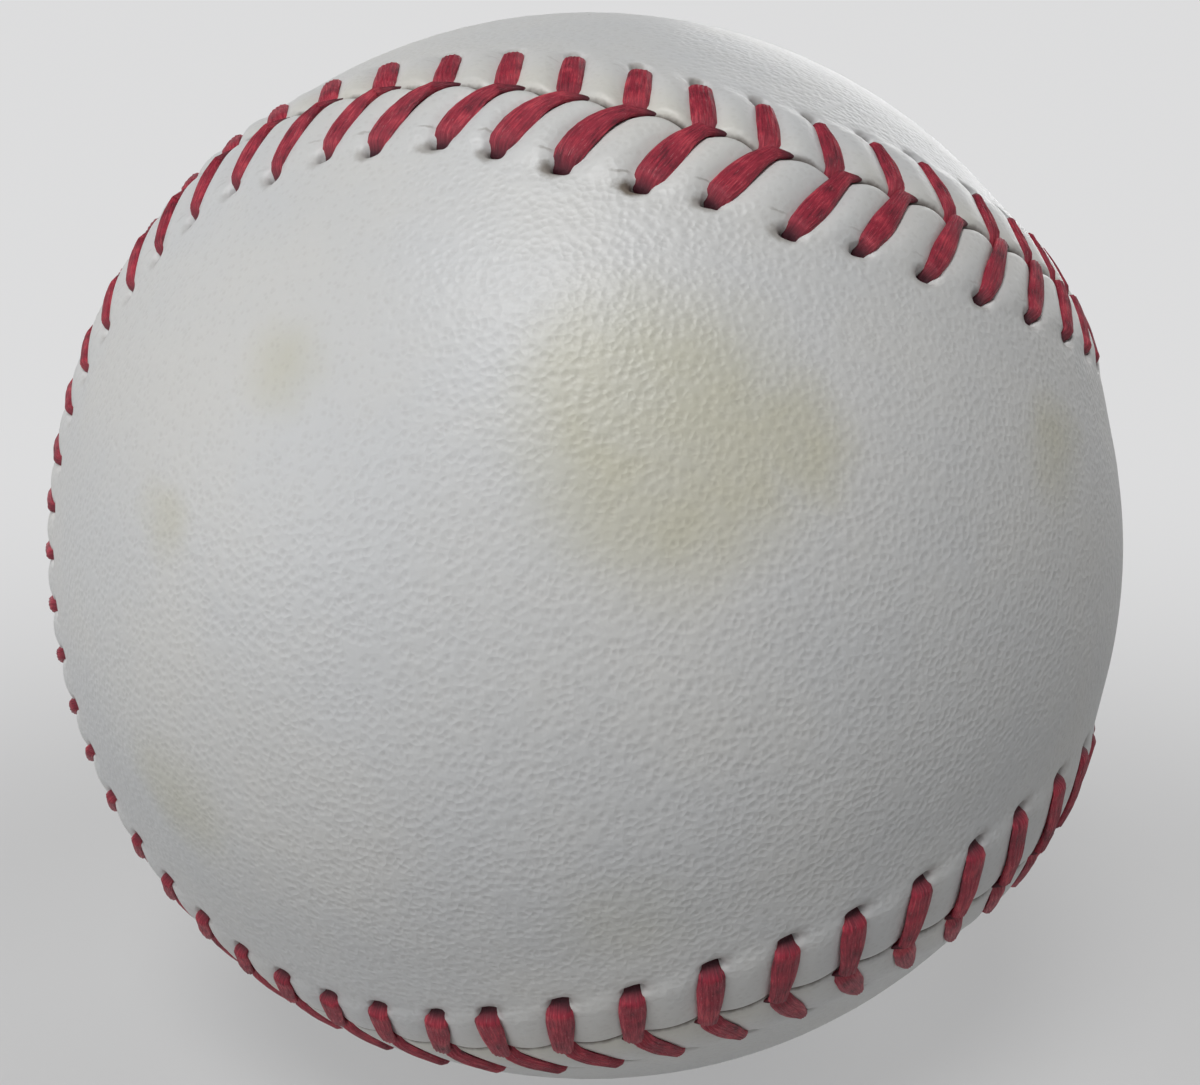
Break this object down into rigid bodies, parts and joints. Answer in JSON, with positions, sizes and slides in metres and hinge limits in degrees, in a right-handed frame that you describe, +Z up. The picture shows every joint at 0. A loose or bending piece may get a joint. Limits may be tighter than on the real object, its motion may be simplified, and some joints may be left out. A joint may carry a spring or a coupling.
{
  "type": "baseball",
  "caption": "Hand-sewn ball: cork and rubber pill, wound yarn layers and two figure-eight leather panels laced edge to edge with red thread along a raised seam.",
  "frame": {"origin": "centre of the ball, which is also its centre of mass", "axes": "+Z up and -Y toward the viewer, with the ball turned as it sits in the picture; +X to the viewer's right"},
  "size_m": [0.075, 0.0746, 0.0745],
  "materials": {
    "cork": "ground cork, matte",
    "black_rubber": "moulded, matte",
    "red_rubber": "moulded, matte",
    "grey_wool": "wound yarn",
    "white_wool": "wound yarn",
    "cotton": "fine wound yarn",
    "leather": "alum tanned, fine pebble grain, light tan stains",
    "red_thread": "waxed multi-strand thread"
  },
  "bodies": {
    "root": {"cork_core": "cork", "black_rubber_shell_upper": "black_rubber", "black_rubber_shell_lower": "black_rubber", "red_rubber_washer": "red_rubber", "red_rubber_shell_left": "red_rubber", "red_rubber_shell_right": "red_rubber", "first_winding_grey_wool": "grey_wool", "second_winding_white_wool": "white_wool", "third_winding_grey_wool": "grey_wool", "finishing_winding_cotton": "cotton", "cover_panel_front": "leather", "cover_panel_back": "leather", "seam_thread": "red_thread"}
  },
  "joints": []
}
